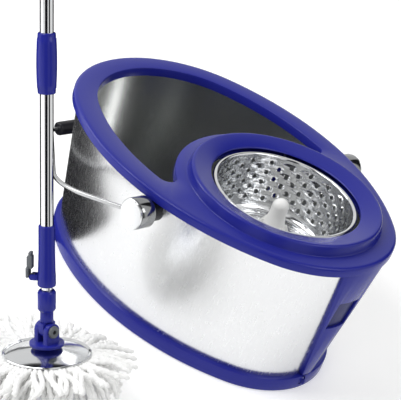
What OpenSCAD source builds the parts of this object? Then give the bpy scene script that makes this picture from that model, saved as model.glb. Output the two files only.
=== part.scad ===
// Spin mop set: a stainless steel wringer bucket with a spinning basket, and its mop standing beside it.
// The origin is on the floor under the middle of the bucket. +Z is up, and +X points to the basket end.

/* [Bucket] */
// Overall length of the top rim
bucket_l = 508; // [430:1:610]
// Radius of the rim's rounded water end
left_r = 162; // [140:1:190]
// Radius of the rim's rounded basket end
right_r = 142; // [120:1:165]
// Radius of the two long sides of the rim
side_r = 341; // [300:1:400]
// Height of the rim's deck above the floor
deck_z = 215; // [180:1:260]
// Thickness of the rim's deck
deck_t = 3; // [2:0.5:4]
// Height of the rim's outer skirt
skirt_h = 12.7; // [8:0.1:18]
// Wall of the rim's skirt
skirt_t = 3.5; // [2:0.5:5]
// Thickness of the steel tub wall
tub_t = 1.2; // [0.8:0.1:2]
// Inset of the steel from the rim outline at its top edge
wall_top_in = 6.5; // [5:0.5:12]
// Inset of the steel from the rim outline at its bottom edge
wall_bot_in = 33; // [20:0.5:45]
// Thickness of the tub's steel bottom
bottom_t = 1.5; // [1:0.1:3]
// Height of the plastic base tray
tray_h = 19.3; // [14:0.1:28]
// Width of the base tray's ledge outside the steel
tray_ledge = 9; // [6:0.5:14]
// Thickness of the base tray's floor
tray_t = 3; // [2:0.5:5]

/* [Water opening] */
// Inset of the water opening from the rim outline
well_in = 31; // [24:1:40]
// Radius of the two corners beside the basket collar
well_f = 14; // [8:1:22]
// Depth of the lip that hangs round the water opening
lip_h = 27; // [15:1:40]
// Wall of that lip
lip_t = 2.5; // [2:0.5:4]
// Width of deck between the collar's crest and the water opening
collar_land = 18; // [10:1:26]

/* [Basket] */
// Distance of the basket axis from the end of the rim
basket_end = 156; // [150:1:180]
// Radius of the opening that the basket shows through
opening_r = 100; // [84:1:108]
// Height of that opening above the deck
opening_h = 8; // [4:1:14]
// Width of the collar's sloping funnel
funnel_w = 27; // [20:1:32]
// Height of the collar's crest above the deck
crest_h = 14; // [10:1:22]
// Depth of the basket from its rolled edge to its floor
basket_depth = 80; // [60:1:100]
// Radius of the basket's flat floor
basket_floor_r = 70; // [50:1:78]
// Thickness of the basket's sheet steel
basket_t = 1; // [0.6:0.1:2]
// Radius of the round holes in the basket wall
hole_r = 2.2; // [1.5:0.1:3.5]
// Number of holes in each row
hole_n = 20; // [8:1:26]
// Radius of the drive knob that the mop head seats on
knob_r = 11; // [8:0.5:14]
// Radius of the basket's spindle
spindle_r = 6; // [4:0.5:8]

/* [Bail] */
// Distance of the bail pivots from the middle of the bucket
boss_x = 41; // [10:1:70]
// Distance of the bail pivots below the deck
boss_drop = 28; // [24:1:60]
// Radius of the round bail bosses
boss_r = 20; // [16:0.5:24]
// Length of each boss's drum
drum_l = 22; // [16:1:30]
// Radius of the bail wire
wire_r = 3; // [2:0.1:4]
// Distance from the pivots to the middle of the hand grip
bail_reach = 345; // [335:1:420]
// Angle that the folded bail hangs below level
bail_drop = 18; // [10:1:22]
// Length of the bail's hand grip
bail_grip_l = 84; // [60:1:88]
// Radius of the bail's hand grip
bail_grip_r = 10; // [8:0.5:13]
// Radius of the pivot pins
pin_r = 4; // [3:0.5:5]

/* [Mop head] */
// Gap between the bucket's side and the mop's axis at the head
mop_gap = 135; // [128:1:220]
// Distance of the mop's axis from the middle of the bucket
mop_x = 81; // [60:1:160]
// Height of the head plate above the floor
head_z = 32; // [31:1:60]
// Lean of the mop away from upright
lean = 22.2; // [10:0.1:23]
// Direction of that lean, from straight along the bucket
lean_turn = 2; // [0:1:25]
// Radius of the polished cover plate
cover_r = 54; // [48:1:60]
// Radius of the ring of strings round the head
string_r = 110; // [90:1:118]
// Radius of the neck under the knuckle
neck_r = 10; // [9:0.5:12]
// Radius of the knuckle's round flange
flange_r = 21; // [17:0.5:24]
// Height of the knuckle's pin above the cover plate
knuckle_h = 29; // [29:1:34]
// Radius of the knuckle's ears
ear_r = 10; // [8:0.5:11]

/* [Pole] */
// Outer radius of the inner tube
inner_r = 6.5; // [6:0.1:8]
// Outer radius of the outer tubes
outer_r = 8; // [7.5:0.1:10]
// Wall of the tubes
tube_t = 0.8; // [0.6:0.1:1]
// Height of the lower sleeve's mouth above the head plate
sleeve_z = 84; // [83:1:110]
// Length of the lower sleeve
sleeve_l = 75; // [60:1:120]
// Radius of the lower sleeve
sleeve_r = 11; // [10:0.5:14]
// Height of the joining barrel above the head plate
barrel_z = 316; // [290:1:380]
// Length of the joining barrel
barrel_l = 70; // [50:1:110]
// Radius of the joining barrel
barrel_r = 12; // [10:0.5:15]
// Height of the pole's top above the head plate
pole_top = 985; // [900:1:1150]
// Length of the top hand grip
grip_l = 115; // [80:1:160]
// How far the outer pole rises on the inner tube
travel = 220; // [150:1:240]
// Rise of the twisted rod in one turn
rod_lead = 100; // [80:1:140]
// Radius of the hanging hole
hang_r = 4; // [3:0.5:6]

/* [Hidden] */
$fn = 64;

// Radial clearance of a turning fit, of a glued or pressed fit, and of pieces that must not touch
run_c = 0.05;
seat_c = 0.05;
free_c = 0.3;
// How far a cutting shape runs past the face it cuts
past = 1;

// Outline of the rim: two end arcs and two long side arcs, each tangent to the next
left_x = left_r - bucket_l / 2;
right_x = bucket_l / 2 - right_r;
arc_d = right_x - left_x;
arc_u = ((side_r - left_r)^2 - (side_r - right_r)^2 + arc_d^2) / (2 * arc_d);
side_x = left_x + arc_u;
side_y = sqrt((side_r - left_r)^2 - arc_u^2);
turn_l = atan2(side_y, left_x - side_x);
turn_r = atan2(side_y, right_x - side_x);
half_w = side_r - side_y;
end_steps = 22;
side_steps = 14;

function arc_pts(cx, cy, r, a0, a1, n) = [
    for (i = [0 : n - 1]) let (a = a0 + (a1 - a0) * i / n) [cx + r * cos(a), cy + r * sin(a)]
];

function egg(off) = concat(
    arc_pts(right_x, 0, right_r + off, -turn_r, turn_r, end_steps),
    arc_pts(side_x, -side_y, side_r + off, turn_r, turn_l, side_steps),
    arc_pts(left_x, 0, left_r + off, turn_l, 360 - turn_l, end_steps),
    arc_pts(side_x, side_y, side_r + off, 360 - turn_l, 360 - turn_r, side_steps)
);

// Half width of the rim at a place on its long sides
function rim_y(x) = sqrt(side_r^2 - (x - side_x)^2) - side_y;

// Inset of the tapered steel wall's outer face at a height
wall_z0 = tray_t + 1;
wall_z1 = deck_z - deck_t;
function wall_off(z) = -wall_bot_in + (wall_bot_in - wall_top_in) * (z - wall_z0) / (wall_z1 - wall_z0);

// Collar and basket
basket_x = bucket_l / 2 - basket_end;
crest_r = opening_r + funnel_w;
basket_top = deck_z + opening_h - 3;
basket_r = opening_r - 3;
floor_z = basket_top - basket_depth;
floor_fillet = 12;
well_r = crest_r + collar_land;

// Centre of the rounded corner between the water opening's side and the collar
function corner(off, r, f) =
    let (dx = basket_x - side_x, d = norm([dx, side_y]), a = side_r + off - f, b = r + f,
         u = (a^2 - b^2 + d^2) / (2 * d), h = sqrt(a^2 - u^2), ex = dx / d, ey = -side_y / d)
    [side_x + ex * u - ey * -h, side_y + ey * u + ex * -h];

function well(grow) =
    let (off = grow - well_in, r = well_r - grow, f = well_f + grow, c = corner(off, r, f),
         a_side = 360 + atan2(c[1] - side_y, c[0] - side_x), a_collar = 360 + atan2(c[1], c[0] - basket_x),
         lower = concat(
             arc_pts(left_x, 0, left_r + off, 180, 360 - turn_l, end_steps / 2),
             arc_pts(side_x, side_y, side_r + off, 360 - turn_l, a_side, side_steps),
             arc_pts(c[0], c[1], f, a_side, a_collar + 180, 8),
             arc_pts(basket_x, 0, r, a_collar, 180, 12)),
         n = len(lower))
    concat(lower, [[basket_x - r, 0]], [for (i = [n - 1 : -1 : 1]) [lower[i][0], -lower[i][1]]]);

// Bail pivots and bosses
boss_z = deck_z - boss_drop;
drum_y0 = rim_y(boss_x) + 4;
drum_y1 = drum_y0 + drum_l;
cap_t = 2.5;
bracket_r = boss_drop - skirt_h - 0.8;
leg_y = drum_y0 + 13;
wire_in = pin_r + 4.5;
leg_l = 79;
leg_flare = 7;
shoulder_r = 130;
shoulder_turn = 38;
grip_bend_r = 16;

// Mop: its own frame stands on the head plate's centre, with +Z up the pole
mop_y = -(half_w + mop_gap);
disc_t = 5;
ring_t = 5.5;
pile_t = 14;
floor_pile_t = 5;
socket_d = 12;
neck_top = 10;
flange_t = 4;
tongue_w = 9.4;
ear_w = 7;
stem_top = 53;
collar_l = 26;
tube_z = stem_top + 4;
inner_top = sleeve_z + travel + 285;
bush_l = 14;
lip_w = 1.5;
bar_w = 7;
bar_t = 2.8;
anchor_z = inner_top + 38;
lever_turn = 215;
lever_z = sleeve_z + 11;
lever_x = sleeve_r + 6;
cam_r = 5.3;
lever_pin_r = 2;
lever_l = 31;

module in_mop() {
    translate([mop_x, mop_y, head_z]) rotate([0, 0, lean_turn]) rotate([0, -lean, 0]) children();
}

module in_bail() {
    translate([boss_x, 0, boss_z]) rotate([0, 180 - bail_drop, 0]) children();
}

// Solid between the rim outline moved by off0 at z0 and by off1 at z1
module egg_loft(off0, z0, off1, z1) {
    a = egg(off0);
    b = egg(off1);
    n = len(a);
    polyhedron(
        points = concat([for (p = a) [p[0], p[1], z0]], [for (p = b) [p[0], p[1], z1]]),
        faces = concat(
            [[for (i = [0 : n - 1]) i]],
            [[for (i = [n - 1 : -1 : 0]) n + i]],
            [for (i = [0 : n - 1]) [i, n + i, (i + 1) % n]],
            [for (i = [0 : n - 1]) [(i + 1) % n, n + i, n + (i + 1) % n]]
        )
    );
}

// Solid inside the steel wall's face, moved inwards by a wall thickness
module tub_core(t, z0, z1) {
    egg_loft(wall_off(z0) - t, z0, wall_off(z1) - t, z1);
}

module slab(points, z0, z1) {
    translate([0, 0, z0]) linear_extrude(z1 - z0) polygon(points);
}

// A cylinder along Y from y0 to y1, on the front when side is -1 and on the rear when it is 1
module across(side, r, y0, y1) {
    rotate([-90 * side, 0, 0]) translate([0, 0, y0]) cylinder(r = r, h = y1 - y0);
}

module tube(r_out, r_in, z0, z1) {
    difference() {
        translate([0, 0, z0]) cylinder(r = r_out, h = z1 - z0);
        translate([0, 0, z0 - past]) cylinder(r = r_in, h = z1 - z0 + 2 * past);
    }
}

drain_seat_r = 5.5;
drain_plug_r = 4;
drain_notch_r = drain_seat_r + 1;
drain_z = wall_z0 + bottom_t + drain_seat_r + 0.6;
drain_x = bucket_l / 2 + wall_off(drain_z);
seat_in = 3.5;
seat_out = 4.5;
plug_cap_t = 2.5;
plug_tab = 6;

module base_tray() {
    color("mediumblue") difference() {
        slab(egg(-wall_bot_in + tray_ledge), 0, tray_h);
        slab(egg(wall_off(tray_h) + seat_c), tray_t, tray_h + past);
        translate([drain_x - tub_t - past, 0, drain_z]) rotate([0, 90, 0])
            cylinder(r = drain_notch_r, h = 4 * tray_ledge);
    }
}

module tub_wall() {
    color("silver") difference() {
        tub_core(0, wall_z0, wall_z1);
        tub_core(tub_t, wall_z0 - past, wall_z1 + past);
        for (side = [-1, 1]) translate([boss_x, 0, boss_z]) across(side, pin_r + seat_c, half_w / 2, half_w);
        translate([right_x, 0, drain_z]) rotate([0, 90, 0]) cylinder(r = drain_seat_r + seat_c, h = right_r);
        for (z = screw_z) translate([right_x, 0, z]) rotate([0, 90, 0])
            cylinder(r = screw_r + seat_c, h = right_r);
    }
}

module tub_bottom() {
    color("silver") slab(egg(-wall_bot_in - tub_t - seat_c), wall_z0, wall_z0 + bottom_t);
}

cradle_ring_r = opening_r + 14;
screw_r = 2;
cradle_arms = 4;

module at_arms() {
    for (i = [0 : cradle_arms - 1])
        translate([basket_x, 0, 0]) rotate([0, 0, 45 + i * 360 / cradle_arms]) children();
}

module collar() {
    rotate_extrude() polygon([
        [opening_r, deck_z + opening_h - 2], [opening_r, deck_z + opening_h],
        [crest_r - 4, deck_z + crest_h], [crest_r, deck_z + crest_h - 1],
        [crest_r + 4, deck_z - deck_t / 2], [crest_r - 1, deck_z - deck_t / 2],
        [crest_r - 4, deck_z + crest_h - 3]
    ]);
}

module top_rim() {
    color("royalblue") difference() {
        union() {
            difference() {
                slab(egg(0), deck_z - skirt_h, deck_z);
                slab(egg(-skirt_t), deck_z - skirt_h - past, deck_z - deck_t);
            }
            slab(well(lip_t), deck_z - lip_h, deck_z - deck_t / 2);
            translate([basket_x, 0, 0]) collar();
        }
        slab(well(0), deck_z - lip_h - past, deck_z + past);
        translate([basket_x, 0, deck_z - skirt_h]) cylinder(r = opening_r + 2, h = skirt_h + past);
        at_arms() translate([cradle_ring_r, 0, deck_z - deck_t - past])
            cylinder(r = screw_r + seat_c, h = deck_t / 2 + past);
    }
}

panel_top_w = 44;
panel_bot_w = 14;
panel_z0 = tray_h + 1.5;
panel_z1 = deck_z - skirt_h;
recess_z = (panel_z0 + panel_z1) / 2 + 18;
recess_h = 44;
recess_w = 44;
screw_z = [panel_z0 + 14, panel_z1 - 16];
screw_head_r = 4;
screw_head_t = 2;
screw_bite = 5;
// Gap that a flat screw head needs under the sloping wall
screw_gap = 0.6;

module end_panel() {
    color("royalblue") difference() {
        intersection() {
            egg_loft(-wall_bot_in + tray_ledge, panel_z0, -1, panel_z1);
            translate([right_x, 0, 0]) rotate([90, 0, 90]) linear_extrude(2 * right_r) polygon([
                [-panel_bot_w, panel_z0], [panel_bot_w, panel_z0],
                [panel_top_w, panel_z1], [-panel_top_w, panel_z1]
            ]);
        }
        tub_core(-seat_c, panel_z0 - past, panel_z1 + past);
        translate([right_x, -recess_w / 2, recess_z - recess_h / 2]) cube([right_r, recess_w, recess_h]);
        at_panel_screws() translate([0, 0, -past])
            cylinder(r = screw_r + seat_c, h = past + screw_bite + seat_c);
    }
}

module at_panel_screws() {
    for (z = screw_z) translate([bucket_l / 2 + wall_off(z), 0, z]) rotate([0, 90, 0]) children();
}

module panel_screws() {
    head_z0 = -tub_t - screw_gap - screw_head_t;
    color("gray") at_panel_screws() {
        translate([0, 0, head_z0]) cylinder(r = screw_head_r, h = screw_head_t);
        translate([0, 0, head_z0]) cylinder(r = screw_r, h = screw_bite - head_z0);
    }
}

module drain_seat() {
    color("dimgray") translate([drain_x, 0, drain_z]) rotate([0, 90, 0])
        tube(drain_seat_r, drain_plug_r + free_c, -seat_in, seat_out);
}

module drain_plug() {
    color("mediumblue") translate([drain_x, 0, drain_z]) rotate([0, 90, 0]) {
        translate([0, 0, -seat_in]) cylinder(r = drain_plug_r, h = seat_in + seat_out + past);
        translate([0, 0, seat_out + free_c / 2]) cylinder(r = drain_seat_r, h = plug_cap_t);
        translate([-plug_tab / 2, -1, seat_out + plug_cap_t]) cube([plug_tab, 2, plug_tab]);
    }
}

// Basket drive: a cradle under the collar holds a bush, and the spindle turns in it
cradle_z0 = floor_z - 26;
boss_out_r = 17;
bush_r = spindle_r + 2.5;
bush_z0 = floor_z - 32;
bush_z1 = floor_z - 9;
arm_w = 12;
arm_in_r = basket_r + 8;
arm_t = 6;
ring_h = 4;

module basket_cradle() {
    color("mediumblue") union() {
        translate([basket_x, 0, 0]) difference() {
            union() {
                tube(cradle_ring_r + 8, arm_in_r, wall_z1 - ring_h, wall_z1);
                translate([0, 0, bush_z0]) cylinder(r = boss_out_r, h = bush_z1 - bush_z0);
            }
            translate([0, 0, bush_z0 - past]) cylinder(r = bush_r + seat_c, h = bush_z1 - bush_z0 + 2 * past);
            for (i = [0 : cradle_arms - 1]) rotate([0, 0, 45 + i * 360 / cradle_arms])
                translate([cradle_ring_r, 0, wall_z1 - ring_h - past])
                    cylinder(r = screw_r + seat_c, h = ring_h + 2 * past);
        }
        at_arms() translate([0, -arm_w / 2, cradle_z0]) {
            translate([arm_in_r, 0, 0]) cube([arm_t - 1, arm_w, wall_z1 - ring_h / 2 - cradle_z0]);
            translate([boss_out_r - 2, 0, 0]) cube([arm_in_r - boss_out_r + 4, arm_w, arm_t]);
        }
    }
}

module cradle_screws() {
    color("gray") at_arms() translate([cradle_ring_r, 0, wall_z1 - ring_h - screw_head_t]) {
        cylinder(r = screw_head_r, h = screw_head_t);
        translate([0, 0, screw_head_t / 2]) cylinder(r = screw_r, h = ring_h + screw_head_t);
    }
}

module spindle_bush() {
    color("goldenrod") translate([basket_x, 0, 0]) difference() {
        union() {
            translate([0, 0, bush_z0]) cylinder(r = bush_r, h = bush_z1 - bush_z0);
            translate([0, 0, bush_z1]) cylinder(r = bush_r + 4, h = 2);
        }
        translate([0, 0, bush_z0 - past]) cylinder(r = spindle_r + run_c, h = bush_z1 - bush_z0 + 4);
    }
}

module thrust_washer() {
    color("whitesmoke") translate([basket_x, 0, 0])
        tube(bush_r + 3.5, spindle_r + free_c, bush_z1 + 2, bush_z1 + 3.5);
}

spindle_top = floor_z + 38;
spindle_bottom = bush_z0 - 6;
clip_t = 1.2;
shoulder_z = bush_z1 + 3.5 + free_c / 2;

module basket_spindle() {
    color("lightgray") translate([basket_x, 0, 0]) difference() {
        union() {
            translate([0, 0, spindle_bottom]) cylinder(r = spindle_r, h = spindle_top - spindle_bottom);
            translate([0, 0, shoulder_z]) cylinder(r = 15, h = floor_z - shoulder_z);
        }
        tube(spindle_r + past, spindle_r - 1, bush_z0 - 2, bush_z0 - 2 + clip_t);
    }
}

module retaining_clip() {
    color("dimgray") translate([basket_x, 0, 0]) difference() {
        tube(spindle_r + 3, spindle_r - 1 + seat_c, bush_z0 - 2 + seat_c, bush_z0 - 2 + clip_t - seat_c);
        translate([0, -2, bush_z0 - 3]) cube([20, 4, 4]);
    }
}

module basket_profile(t) {
    polygon([
        [0, floor_z + t], [basket_floor_r - t, floor_z + t],
        [basket_floor_r + floor_fillet - t, floor_z + floor_fillet],
        [basket_r - 5 - t, basket_top - 6], [basket_r - 4 - t, basket_top + past], [0, basket_top + past]
    ]);
}

module spin_basket() {
    color("gainsboro") translate([basket_x, 0, 0]) difference() {
        rotate_extrude() difference() {
            polygon([
                [0, floor_z], [basket_floor_r, floor_z],
                [basket_floor_r + floor_fillet, floor_z + floor_fillet],
                [basket_r - 5, basket_top - 6], [basket_r - 4, basket_top - 3], [basket_r, basket_top - 3],
                [basket_r, basket_top], [0, basket_top]
            ]);
            basket_profile(basket_t);
        }
        translate([0, 0, floor_z - past]) cylinder(r = spindle_r + seat_c, h = 5);
        for (row = [0, 1], i = [0 : hole_n - 1]) rotate([0, 0, (i + row / 2) * 360 / hole_n])
            translate([basket_floor_r - 5, 0, floor_z + 28 + row * 22]) rotate([0, 90, 0])
                cylinder(r = hole_r, h = 45);
        for (i = [0 : 7]) rotate([0, 0, i * 45 + 22.5]) translate([basket_floor_r - 16, 0, floor_z - past]) {
            translate([-5, -hole_r, 0]) cube([10, 2 * hole_r, 4]);
            for (end = [-5, 5]) translate([end, 0, 0]) cylinder(r = hole_r, h = 4);
        }
    }
}

knob_z0 = floor_z + 44;
knob_l = 14;
hub_flange_r = 36;
hub_flange_t = 5;
hub_waist_r = 15;
hub_z0 = floor_z + basket_t + hub_flange_t - past;
hub_z1 = hub_z0 + 25;

module basket_hub() {
    color("white") translate([basket_x, 0, 0]) difference() {
        union() {
            translate([0, 0, floor_z + basket_t + seat_c]) cylinder(r = hub_flange_r, h = hub_flange_t);
            translate([0, 0, hub_z0]) cylinder(r1 = hub_flange_r - 6, r2 = hub_waist_r, h = hub_z1 - hub_z0);
            translate([0, 0, hub_z1]) cylinder(r1 = hub_waist_r, r2 = knob_r, h = knob_z0 - hub_z1);
            translate([0, 0, knob_z0]) cylinder(r = knob_r, h = knob_l);
            translate([0, 0, knob_z0 + knob_l]) intersection() {
                sphere(r = knob_r);
                cylinder(r = knob_r, h = knob_r);
            }
        }
        translate([0, 0, floor_z]) cylinder(r = spindle_r + seat_c, h = spindle_top - floor_z + 0.5);
    }
}

// Bail: brackets and pins stay on the tub, drums and caps turn with the wire
module at_boss() {
    translate([boss_x, 0, boss_z]) children();
}

module bail_bracket(side) {
    color("dimgray") difference() {
        at_boss() across(side, bracket_r, half_w - 30, drum_y0 - 0.5);
        tub_core(-seat_c, 2 * tray_h, wall_z1);
        at_boss() across(side, pin_r + seat_c, half_w / 2, 2 * half_w);
    }
}

module bail_bracket_front() { bail_bracket(-1); }

module bail_bracket_rear() { bail_bracket(1); }

pin_head_r = pin_r + 3;
pin_y0 = rim_y(abs(boss_x) + pin_head_r) + wall_off(boss_z - pin_head_r) - tub_t - free_c;
head_y = leg_y - 1;

module pivot_pins() {
    color("silver") for (side = [-1, 1]) at_boss() {
        across(side, pin_r, pin_y0, head_y + 2);
        across(side, pin_r + 2.5, head_y, head_y + 2.5);
        across(side, pin_head_r, pin_y0 - 2, pin_y0);
    }
}

module boss_drum(side) {
    color("silver") difference() {
        at_boss() across(side, boss_r, drum_y0, drum_y1);
        at_boss() across(side, pin_r + run_c, drum_y0 - past, drum_y1);
        at_boss() across(side, pin_r + 3.2, head_y - free_c, drum_y1 + past);
        in_bail() translate([0, side * leg_y, 0]) rotate([0, 0, side * leg_flare]) rotate([0, 90, 0])
            cylinder(r = wire_r + seat_c, h = 2 * boss_r);
    }
}

module boss_drum_front() { boss_drum(-1); }

module boss_drum_rear() { boss_drum(1); }

module boss_cap(side) {
    color("whitesmoke") at_boss() {
        across(side, boss_r - 1, drum_y1, drum_y1 + cap_t);
        across(side, pin_r + 3.1, drum_y1 - 2, drum_y1 + 1);
    }
}

module boss_cap_front() { boss_cap(-1); }

module boss_cap_rear() { boss_cap(1); }

// The bail's centre line in its own plane, from the front pivot to the middle of the grip
function heading(a) = [cos(a), sin(a)];
leg_start = [wire_in, -leg_y - wire_in * tan(leg_flare)];
leg_end = leg_start + leg_l * heading(-leg_flare);
shoulder_c = leg_end + shoulder_r * heading(90 - leg_flare);
shoulder_end = shoulder_c - shoulder_r * heading(90 + shoulder_turn);
bend_y = shoulder_end[1] + (bail_reach - shoulder_end[0]) * tan(shoulder_turn);
bend_len = grip_bend_r * tan((90 - shoulder_turn) / 2);
bend_c = [bail_reach - grip_bend_r, bend_y + bend_len];
front_half = concat(
    [leg_start],
    arc_pts(shoulder_c[0], shoulder_c[1], shoulder_r, -90 - leg_flare, shoulder_turn - 90, 9),
    arc_pts(bend_c[0], bend_c[1], grip_bend_r, shoulder_turn - 90, 0, 6),
    [[bail_reach, bend_c[1]]]
);
half_n = len(front_half);
bail_pts = concat(front_half, [for (i = [half_n - 1 : -1 : 0]) [front_half[i][0], -front_half[i][1]]]);
wire_sides = 12;

module bail_wire() {
    n = len(bail_pts);
    m = wire_sides;
    function way(i) = bail_pts[min(i + 1, n - 1)] - bail_pts[max(i - 1, 0)];
    dirs = [for (i = [0 : n - 1]) way(i) / norm(way(i))];
    color("silver") in_bail() polyhedron(
        points = [for (i = [0 : n - 1], j = [0 : m - 1]) let (a = 360 * j / m, q = wire_r * cos(a)) [
            bail_pts[i][0] + q * dirs[i][1], bail_pts[i][1] - q * dirs[i][0], wire_r * sin(a)
        ]],
        faces = concat(
            [[for (j = [0 : m - 1]) j]],
            [[for (j = [m - 1 : -1 : 0]) (n - 1) * m + j]],
            [for (i = [0 : n - 2], j = [0 : m - 1]) [i * m + j, (i + 1) * m + j, i * m + (j + 1) % m]],
            [for (i = [0 : n - 2], j = [0 : m - 1])
                [i * m + (j + 1) % m, (i + 1) * m + j, (i + 1) * m + (j + 1) % m]]
        )
    );
}

module bail_grip() {
    color("dimgray") in_bail() translate([bail_reach, 0, 0]) rotate([90, 0, 0])
        tube(bail_grip_r, wire_r + run_c, -bail_grip_l / 2, bail_grip_l / 2);
}

// Mop head
module mop_strings() {
    color("snow") difference() {
        intersection() {
            hull() {
                in_mop() translate([0, 0, -pile_t]) cylinder(r = string_r, h = pile_t - 3, $fn = 32);
                translate([mop_x, mop_y, 0]) cylinder(r = string_r, h = floor_pile_t, $fn = 32);
            }
            translate([mop_x, mop_y, 0]) cylinder(r = 2 * string_r, h = 2 * string_r);
        }
        in_mop() translate([0, 0, -string_r]) cylinder(r = cover_r - 3, h = 2 * string_r);
        in_mop() translate([0, 0, -3]) cylinder(r = cover_r + free_c, h = string_r);
    }
}

module string_ring() {
    color("royalblue") in_mop() tube(cover_r - 5, 32, -disc_t - ring_t - 1, -disc_t - 1);
}

module mop_disc() {
    color("royalblue") in_mop() difference() {
        union() {
            translate([0, 0, -disc_t - 1]) cylinder(r = cover_r - 4, h = disc_t);
            translate([0, 0, -socket_d - 8]) cylinder(r = knob_r + 4, h = socket_d + 4);
        }
        translate([0, 0, -socket_d - 8 - past]) cylinder(r = knob_r + 0.4, h = socket_d + past);
    }
}

module disc_cover() {
    color("silver") in_mop() rotate_extrude() polygon([
        [spigot_r + 2 * run_c, 2], [cover_r - 20, 0.4], [cover_r - 3, -1], [cover_r, -1],
        [cover_r, 0.4], [cover_r - 20, 1.8], [neck_r + 2, 3.6], [spigot_r + 2 * run_c, 3.6]
    ]);
}

spigot_r = 6;

module head_neck() {
    color("gray") in_mop() tube(neck_r, spigot_r + run_c, 3.65, neck_top);
}

module knuckle_yoke() {
    color("royalblue") in_mop() difference() {
        union() {
            translate([0, 0, 3.9]) cylinder(r = spigot_r, h = neck_top);
            translate([0, 0, neck_top + seat_c]) cylinder(r = flange_r, h = flange_t);
            for (side = [-1, 1]) {
                translate([side * (tongue_w / 2 + ear_w / 2) - ear_w / 2, -ear_r, neck_top + flange_t / 2])
                    cube([ear_w, 2 * ear_r, knuckle_h - neck_top - flange_t / 2]);
                translate([side * (tongue_w / 2 + ear_w / 2) - ear_w / 2, 0, knuckle_h]) rotate([0, 90, 0])
                    cylinder(r = ear_r, h = ear_w);
            }
        }
        translate([-40, 0, knuckle_h]) rotate([0, 90, 0]) cylinder(r = pin_r + seat_c, h = 80);
    }
}

module knuckle_pin() {
    w = tongue_w / 2 + ear_w;
    color("silver") in_mop() translate([-w, 0, knuckle_h]) rotate([0, 90, 0]) cylinder(r = pin_r, h = 2 * w);
}

module pivot_caps() {
    w = tongue_w / 2 + ear_w;
    color("lightgray") in_mop() for (side = [-1, 1]) translate([side * w, 0, knuckle_h])
        rotate([0, side * 90, 0]) difference() {
            translate([0, 0, seat_c]) cylinder(r = ear_r - 2.5, h = 3);
            translate([-ear_r, -1, 2]) cube([2 * ear_r, 2, 4]);
        }
}

module stem() {
    color("royalblue") in_mop() difference() {
        union() {
            translate([-tongue_w / 2 + free_c, 0, knuckle_h]) rotate([0, 90, 0])
                cylinder(r = ear_r - 0.5, h = tongue_w - 2 * free_c);
            translate([-tongue_w / 2 + free_c, -ear_r + 0.5, knuckle_h])
                cube([tongue_w - 2 * free_c, 2 * ear_r - 1, ear_r]);
            translate([0, 0, knuckle_h + ear_r + 1]) cylinder(r = 8, h = stem_top - knuckle_h - ear_r - 1);
            translate([0, 0, stem_top - 1]) cylinder(r = inner_r - tube_t - seat_c, h = 40);
            translate([-tongue_w / 2 + free_c, -7, knuckle_h]) cube([tongue_w - 2 * free_c, 14, ear_r + 4]);
        }
        translate([-40, 0, knuckle_h]) rotate([0, 90, 0]) cylinder(r = pin_r + run_c, h = 80);
    }
}

module collar_nut() {
    color("royalblue") in_mop() difference() {
        translate([0, 0, stem_top + seat_c]) cylinder(r = sleeve_r, h = collar_l);
        translate([0, 0, stem_top - past]) cylinder(r = inner_r + seat_c, h = collar_l + 3);
    }
}

module inner_tube() {
    color("silver") in_mop() tube(inner_r, inner_r - tube_t, tube_z, inner_top);
}

module twisted_bar(w, t, z0, z1) {
    turns = (z1 - z0) / rod_lead;
    translate([0, 0, z0]) rotate([0, 0, 360 * z0 / rod_lead])
        linear_extrude(z1 - z0, twist = -360 * turns, slices = ceil(turns * 24), segments = 4)
            square([w, t], center = true);
}

module drive_nut() {
    color("whitesmoke") in_mop() difference() {
        union() {
            translate([0, 0, inner_top - 15]) cylinder(r = inner_r - tube_t - seat_c, h = 15.5);
            translate([0, 0, inner_top + seat_c]) cylinder(r = inner_r, h = 2);
        }
        twisted_bar(bar_w + 4 * free_c, bar_t + 4 * free_c, inner_top - 17, inner_top + 4);
    }
}

module guide_bush() {
    color("whitesmoke") in_mop()
        tube(outer_r, inner_r + run_c, sleeve_z + lip_w + free_c, sleeve_z + lip_w + free_c + bush_l);
}

// Pole: everything from here turns and rises with the hand
module in_lever() {
    in_mop() rotate([0, 0, lever_turn]) children();
}

module lower_sleeve() {
    color("royalblue") in_lever() difference() {
        union() {
            translate([0, 0, sleeve_z]) cylinder(r = sleeve_r, h = sleeve_l);
            for (side = [-1, 1]) translate([0, side * 4.8 - 1.5, lever_z]) {
                translate([sleeve_r - 3, 0, -6]) cube([lever_x - sleeve_r + 3, 3, 12]);
                translate([lever_x, 0, 0]) rotate([-90, 0, 0]) cylinder(r = 6, h = 3);
            }
        }
        translate([0, 0, sleeve_z + lip_w]) cylinder(r = outer_r + seat_c, h = sleeve_l);
        translate([0, 0, sleeve_z - past]) cylinder(r = inner_r + 0.6, h = sleeve_l);
        translate([lever_x, -20, lever_z]) rotate([-90, 0, 0]) cylinder(r = lever_pin_r + seat_c, h = 40);
    }
}

module lock_lever() {
    color("gray") in_lever() translate([lever_x, 0, lever_z]) difference() {
        union() {
            translate([0, -3, 0]) rotate([-90, 0, 0]) cylinder(r = cam_r, h = 6);
            translate([-2, -3, 0]) cube([5, 6, lever_l - 5]);
            translate([0.5, 0, lever_l - 5]) cylinder(r = 2.5, h = 5);
            translate([-2, -4.5, 12]) cube([5, 9, lever_l - 16]);
        }
        translate([0, -20, 0]) rotate([-90, 0, 0]) cylinder(r = lever_pin_r + run_c, h = 40);
    }
}

module lever_pin() {
    color("silver") in_lever() translate([lever_x, -6.3, lever_z]) rotate([-90, 0, 0])
        cylinder(r = lever_pin_r, h = 12.6);
}

tube_join = barrel_z + barrel_l / 2;
outer_start = sleeve_z + lip_w + 2 * free_c + bush_l;

module outer_tube() {
    color("silver") in_mop() tube(outer_r, outer_r - tube_t, outer_start, tube_join);
}

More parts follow.
